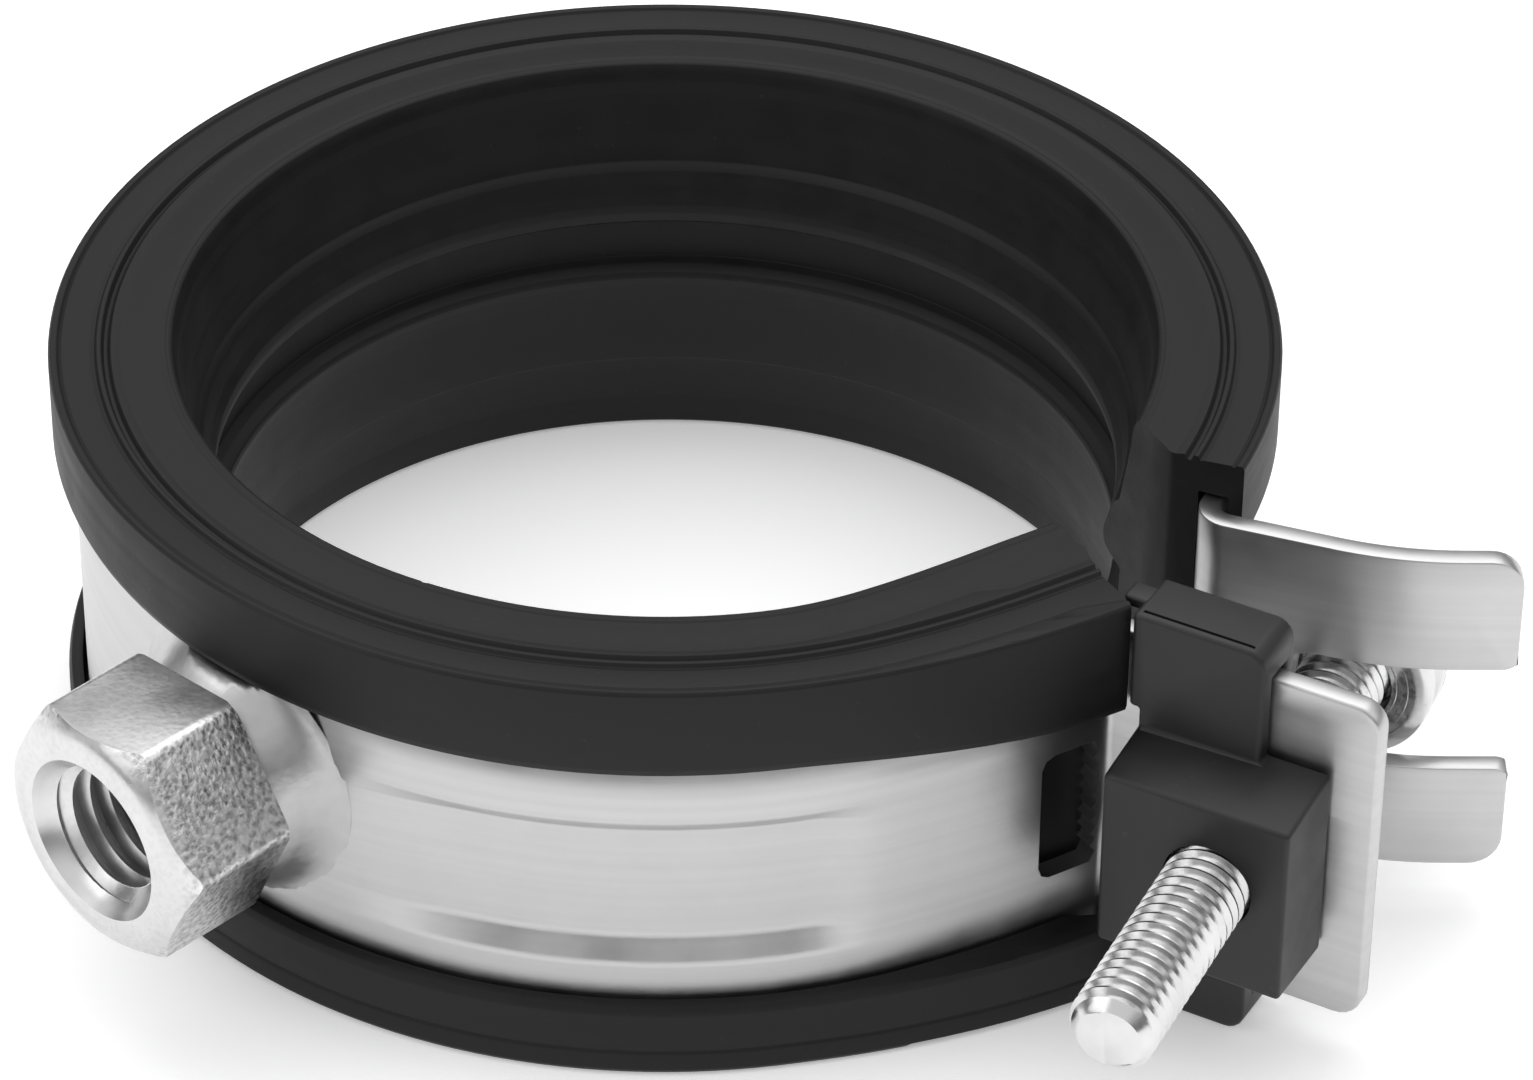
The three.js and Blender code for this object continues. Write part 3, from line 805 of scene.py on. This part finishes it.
tree, taken, given = new_group("grain", [("Vector", VECTOR, None), ("Scale", FLOAT, 2000.0),
                                         ("Coarseness", FLOAT, 0.5)],
                               [("Height", FLOAT), ("Shade", FLOAT)])
fine = put(tree, "ShaderNodeTexNoise", {"Vector": taken[0], "Scale": taken[1], "Detail": 4.0,
                                        "Roughness": 0.6}).outputs[0]
pits = put(tree, "ShaderNodeTexVoronoi", {"Vector": taken[0], "Scale": taken[1]},
           feature="SMOOTH_F1").outputs["Distance"]
blend = put(tree, "ShaderNodeMix", {"Factor": taken[2], 2: fine, 3: pits}, data_type="FLOAT")
cloud = put(tree, "ShaderNodeTexNoise", {"Vector": taken[0], "Detail": 3.0,
                                         "Scale": math_node(tree, "MULTIPLY", taken[1], 0.09)})
tree.links.new(blend.outputs[0], given.inputs[0])
tree.links.new(cloud.outputs[0], given.inputs[1])

tree, taken, given = new_group("handling_marks", [("Vector", VECTOR, None),
                                                  ("Scale", FLOAT, 900.0),
                                                  ("Amount", FLOAT, 0.2)], [("Mask", FLOAT)])
spots = put(tree, "ShaderNodeTexNoise", {"Vector": taken[0], "Scale": taken[1], "Detail": 2.0,
                                         "Roughness": 0.7}).outputs[0]
rarity = math_node(tree, "SUBTRACT", 0.78, math_node(tree, "MULTIPLY", taken[2], 0.4))
cut = put(tree, "ShaderNodeMapRange", {"Value": spots, "From Min": rarity,
                                       "From Max": math_node(tree, "ADD", rarity, 0.1)})
tree.links.new(cut.outputs[0], given.inputs[0])
print("effects:", [g.name for g in bpy.data.node_groups])


# %% Helpers that place an effect in a material
def effect(tree, name, inputs=None):
    return put(tree, "ShaderNodeGroup", inputs, node_tree=bpy.data.node_groups[name]).outputs


def object_place(tree):
    return put(tree, "ShaderNodeTexCoord").outputs["Object"]


def half_and_half(tree, first, second):
    return put(tree, "ShaderNodeMix", {"Factor": 0.5, 2: first, 3: second},
               data_type="FLOAT").outputs[0]


def fade(tree, factor, first, second):
    """A colour that goes from first to second, which may be a plain grey."""
    if isinstance(second, float):
        second = (second, second, second, 1)
    return put(tree, "ShaderNodeMix", {"Factor": factor, 6: first, 7: second},
               data_type="RGBA").outputs[2]


def new_finish(name, **steady):
    """A material with its shader; steady values go straight onto the shader's sockets."""
    material = bpy.data.materials.new(name)
    material.use_nodes = True
    tree = material.node_tree
    shader = tree.nodes["Principled BSDF"]
    for key, value in steady.items():
        shader.inputs[key.replace("_", " ")].default_value = value
    return material, tree, shader


def ramp(tree, value, stops):
    """A colour ramp between grey stops (position, grey)."""
    node = put(tree, "ShaderNodeValToRGB", {"Fac": value})
    points = node.color_ramp.elements
    while len(points) < len(stops):
        points.new(0.5)
    for point, (position, grey) in zip(points, stops):
        point.position = position
        point.color = (grey, grey, grey, 1)
    return node.outputs[0]


def bump(tree, shader, height, distance, strength=1.0):
    node = put(tree, "ShaderNodeBump", {"Height": height, "Distance": distance * mm,
                                        "Strength": strength})
    tree.links.new(node.outputs[0], shader.inputs["Normal"])


def wear(piece, material):
    piece.data.materials.clear()
    piece.data.materials.append(material)


print("finish helpers ready")

# %% [markdown]
# ## Zinc-plated strip
# Strip steel is rolled, so it has very fine lines along its length, and the zinc on
# it is satin with a faint cloudiness. The lines are a noise stretched round the pipe, the
# cloud changes the colour and roughness a little, and a fine grain breaks up reflections.

# %% Strip finish
strip_zinc, tree, shader = new_finish("strip_zinc", Metallic=1.0)
unrolled = effect(tree, "round_the_pipe")[0]
lines_at = put(tree, "ShaderNodeMapping", {"Vector": unrolled, "Scale": (14, 1, 1500)}).outputs[0]
lines = put(tree, "ShaderNodeTexNoise", {"Vector": lines_at, "Scale": 1.0, "Detail": 5.0}).outputs[0]
grain = effect(tree, "grain", {"Vector": unrolled, "Scale": 2600.0, "Coarseness": 0.35})
marks = effect(tree, "handling_marks", {"Vector": unrolled, "Scale": 420.0, "Amount": 0.1})[0]
both = half_and_half(tree, lines, grain["Shade"])
tone = ramp(tree, both, [(0.3, 0.48), (0.7, 0.57)])
spotted = fade(tree, math_node(tree, "MULTIPLY", marks, 0.12), tone, 0.5)
tree.links.new(spotted, shader.inputs["Base Color"])
tree.links.new(ramp(tree, grain["Shade"], [(0.3, 0.32), (0.7, 0.43)]), shader.inputs["Roughness"])
height = math_node(tree, "ADD", math_node(tree, "MULTIPLY", lines, 0.45), grain["Height"])
bump(tree, shader, height, 0.006)
wear(front, strip_zinc)
wear(rear, strip_zinc)
print("strip finish on", front.name, "and", rear.name)

# %% [markdown]
# ## Forged and turned zinc
# The nut's sides are rougher than the strip: the plating shows a hammered grain. The same grain
# with a much deeper bump does it, and masks keep it off the turned face, the mouth and the
# flat on top, where its plainer, lighter grey is a painted highlight. The weld is duller, and the screw
# is smooth and bright with small dull spots.

# %% Nut finish
nut_zinc, tree, shader = new_finish("nut_zinc", Metallic=1.0)
place = object_place(tree)
grain = effect(tree, "grain", {"Vector": place, "Scale": 2500.0, "Coarseness": 0.45})
tree.links.new(ramp(tree, grain["Shade"], [(0.3, 0.24), (0.7, 0.36)]), shader.inputs["Roughness"])
# the end face is turned, so the grain fades out just before it, and round the bore
split = put(tree, "ShaderNodeSeparateXYZ", {0: place}).outputs
above = math_node(tree, "SUBTRACT", split[2], NUT_Z)
across = put(tree, "ShaderNodeCombineXYZ", {1: split[1], 2: above}).outputs[0]
inside = put(tree, "ShaderNodeVectorMath", {0: across}, operation="LENGTH").outputs["Value"]
turned_mask = put(tree, "ShaderNodeMapRange", {"Value": split[0], "From Min": 51.0 * mm,
                                               "From Max": 51.9 * mm, "To Min": 1.0,
                                               "To Max": 0.12}).outputs[0]
bore_mask = put(tree, "ShaderNodeMapRange", {"Value": inside, "From Min": 5.6 * mm,
                                             "From Max": 6.4 * mm, "To Min": 0.1}).outputs[0]
# and the flat that faces up is smoother than the sides, and its plainer, lighter grey is a painted
# highlight
facing = put(tree, "ShaderNodeNewGeometry").outputs["Normal"]
upright = put(tree, "ShaderNodeSeparateXYZ", {0: facing}).outputs[2]
sides_vs_painted_lit_top = put(tree, "ShaderNodeMapRange", {"Value": upright, "From Min": 0.98, "From Max": 0.8,
                                             "To Min": 0.2, "To Max": 1.0}).outputs[0]
masks = math_node(tree, "MULTIPLY", sides_vs_painted_lit_top, math_node(tree, "MULTIPLY", turned_mask, bore_mask))
speckle = ramp(tree, grain["Height"], [(0.3, 0.3), (0.55, 0.72)])
plain = ramp(tree, grain["Shade"], [(0.3, 0.6), (0.7, 0.68)])
# the plain grey on the flat that faces up is a painted highlight; on the turned face and round the bore
# it is their own finish
tree.links.new(fade(tree, masks, plain, speckle), shader.inputs["Base Color"])
bump(tree, shader, math_node(tree, "MULTIPLY", grain["Height"], masks), 0.09)
wear(nut, nut_zinc)
wear(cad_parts["square_nut"], nut_zinc)
print("nut finish on", nut.name, "and the square nut")

# %% Weld finish
weld_zinc, tree, shader = new_finish("weld_zinc", Metallic=1.0)
place = object_place(tree)
grain = effect(tree, "grain", {"Vector": place, "Scale": 1500.0, "Coarseness": 0.3})
tree.links.new(ramp(tree, grain["Shade"], [(0.3, 0.42), (0.7, 0.56)]), shader.inputs["Base Color"])
tree.links.new(ramp(tree, grain["Height"], [(0.2, 0.3), (0.8, 0.42)]), shader.inputs["Roughness"])
bump(tree, shader, grain["Height"], 0.03)
wear(weld, weld_zinc)
print("weld finish on", weld.name)

# %% Screw finish
screw_zinc, tree, shader = new_finish("screw_zinc", Metallic=1.0)
place = object_place(tree)
grain = effect(tree, "grain", {"Vector": place, "Scale": 2400.0, "Coarseness": 0.4})
marks = effect(tree, "handling_marks", {"Vector": place, "Scale": 900.0, "Amount": 0.35})[0]
tone = ramp(tree, grain["Shade"], [(0.3, 0.58), (0.7, 0.72)])
spotted = fade(tree, math_node(tree, "MULTIPLY", marks, 0.4), tone, 0.45)
tree.links.new(spotted, shader.inputs["Base Color"])
tree.links.new(ramp(tree, grain["Height"], [(0.2, 0.14), (0.8, 0.28)]), shader.inputs["Roughness"])
bump(tree, shader, grain["Height"], 0.01)
wear(screw, screw_zinc)
wear(washer, screw_zinc)
print("finishes:", [m.name for m in bpy.data.materials if m.name.endswith("zinc")])

# %% [markdown]
# ## Rubber and moulded plastic
# The rubber is matte black with fine flow streaks round the pipe, where it was pressed through
# its die, a dusty bloom and a few pale specks. The retainer is a little greyer and has the
# even texture of a spark-eroded mould.

# %% Rubber finish
lining_rubber, tree, shader = new_finish("lining_rubber", Specular_IOR_Level=0.26)
unrolled = effect(tree, "round_the_pipe")[0]
streaks_at = put(tree, "ShaderNodeMapping", {"Vector": unrolled, "Scale": (25, 900, 900)}).outputs[0]
streaks = put(tree, "ShaderNodeTexNoise", {"Vector": streaks_at, "Scale": 1.0, "Detail": 3.0}).outputs[0]
grain = effect(tree, "grain", {"Vector": unrolled, "Scale": 3200.0, "Coarseness": 0.3})
marks = effect(tree, "handling_marks", {"Vector": unrolled, "Scale": 1500.0, "Amount": 0.18})[0]
both = half_and_half(tree, streaks, grain["Shade"])
tone = ramp(tree, both, [(0.3, 0.006), (0.7, 0.011)])
dusty = fade(tree, math_node(tree, "MULTIPLY", marks, 0.35), tone, 0.06)
tree.links.new(dusty, shader.inputs["Base Color"])
tree.links.new(ramp(tree, both, [(0.3, 0.46), (0.7, 0.6)]), shader.inputs["Roughness"])
height = math_node(tree, "ADD", math_node(tree, "MULTIPLY", streaks, 0.6), grain["Height"])
bump(tree, shader, height, 0.014)
wear(lining, lining_rubber)
print("rubber finish on", lining.name)

# %% Plastic finish
retainer_plastic, tree, shader = new_finish("retainer_plastic", Specular_IOR_Level=0.4)
place = object_place(tree)
grain = effect(tree, "grain", {"Vector": place, "Scale": 3600.0, "Coarseness": 0.5})
marks = effect(tree, "handling_marks", {"Vector": place, "Scale": 700.0, "Amount": 0.2})[0]
tone = ramp(tree, grain["Shade"], [(0.3, 0.012), (0.7, 0.017)])
dusty = fade(tree, math_node(tree, "MULTIPLY", marks, 0.3), tone, 0.07)
tree.links.new(dusty, shader.inputs["Base Color"])
tree.links.new(ramp(tree, grain["Shade"], [(0.3, 0.4), (0.7, 0.52)]), shader.inputs["Roughness"])
bump(tree, shader, grain["Height"], 0.01)
wear(retainer, retainer_plastic)
# the plain nodes behind the pieces are hidden, but wear a procedural finish too
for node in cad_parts.values():
    if node.hide_render:
        wear(node, strip_zinc)
print("all finishes:", len([m for m in bpy.data.materials if m.users]))

# %% [markdown]
# ## Floor, light and camera
# The clamp lies on a pale sheet in plain soft light: one large lamp overhead and behind, which
# puts a sheen on the rims, one large lamp at the left for the metal, and a weak one at the right.
# The camera looks down on the closure with a long lens.

# %% Floor
clear_table()
bpy.ops.mesh.primitive_plane_add(size=6)
floor = bpy.context.object
floor.name = "pale_floor"
pale, tree, shader = new_finish("pale_sheet", Roughness=0.9, Specular_IOR_Level=0.1,
                                Emission_Color=(1, 1, 1, 1), Emission_Strength=0.28)
place = object_place(tree)
cloud = put(tree, "ShaderNodeTexNoise", {"Vector": place, "Scale": 3.0}).outputs[0]
tree.links.new(ramp(tree, cloud, [(0.3, 0.93), (0.7, 0.95)]), shader.inputs["Base Color"])
wear(floor, pale)
scene = bpy.context.scene
scene.view_settings.view_transform = "Standard"
world = bpy.data.worlds.new("soft_room")
world.use_nodes = True
sky = world.node_tree
up = put(sky, "ShaderNodeSeparateXYZ", {0: put(sky, "ShaderNodeTexCoord").outputs["Generated"]})
shade = ramp(sky, up.outputs[2], [(0.0, 0.12), (0.3, 0.3), (0.6, 1.0)])
sky.links.new(shade, sky.nodes["Background"].inputs["Color"])
sky.nodes["Background"].inputs["Strength"].default_value = 0.9
scene.world = world
print("floor and room ready")


# %% Lamps
LAMPS_AIM = Vector((0, 0, 0.01))


def softbox(name, place, size, power):
    clear_table()
    bpy.ops.object.light_add(type="AREA", location=in_frame(Vector(place)))
    lamp = bpy.context.object
    lamp.name = name
    lamp.data.shape = "RECTANGLE"
    lamp.data.size, lamp.data.size_y = size
    lamp.data.energy = power
    lamp.rotation_euler = (LAMPS_AIM - lamp.location).to_track_quat("-Z", "Y").to_euler()


softbox("overhead", (0.0, 0.35, 0.95), (1.3, 0.9), 5)
softbox("left_front", (-0.9, -0.35, 0.55), (0.7, 0.8), 2.0)
softbox("right_fill", (0.9, -0.1, 0.5), (0.6, 0.6), 0.6)

# %% Camera
CAMERA_AT, CAMERA_AIM = Vector((0.25847, 0.25577, 0.2758)), Vector((-0.00397, 0.00575, 0.0139))
LENS = 152.64             # for a sensor 36 mm wide
ROLL = math.radians(0.503)
clear_table()
bpy.ops.object.camera_add(location=CAMERA_AT)
camera = bpy.context.object
camera.data.sensor_width, camera.data.lens = 36, LENS
look = (CAMERA_AIM - CAMERA_AT).to_track_quat("-Z", "Y")
camera.rotation_euler = (look @ Quaternion((0, 0, 1), ROLL)).to_euler()
camera.data.clip_start = 0.01
scene.camera = camera
print("camera", round((CAMERA_AIM - CAMERA_AT).length, 3), "m away")
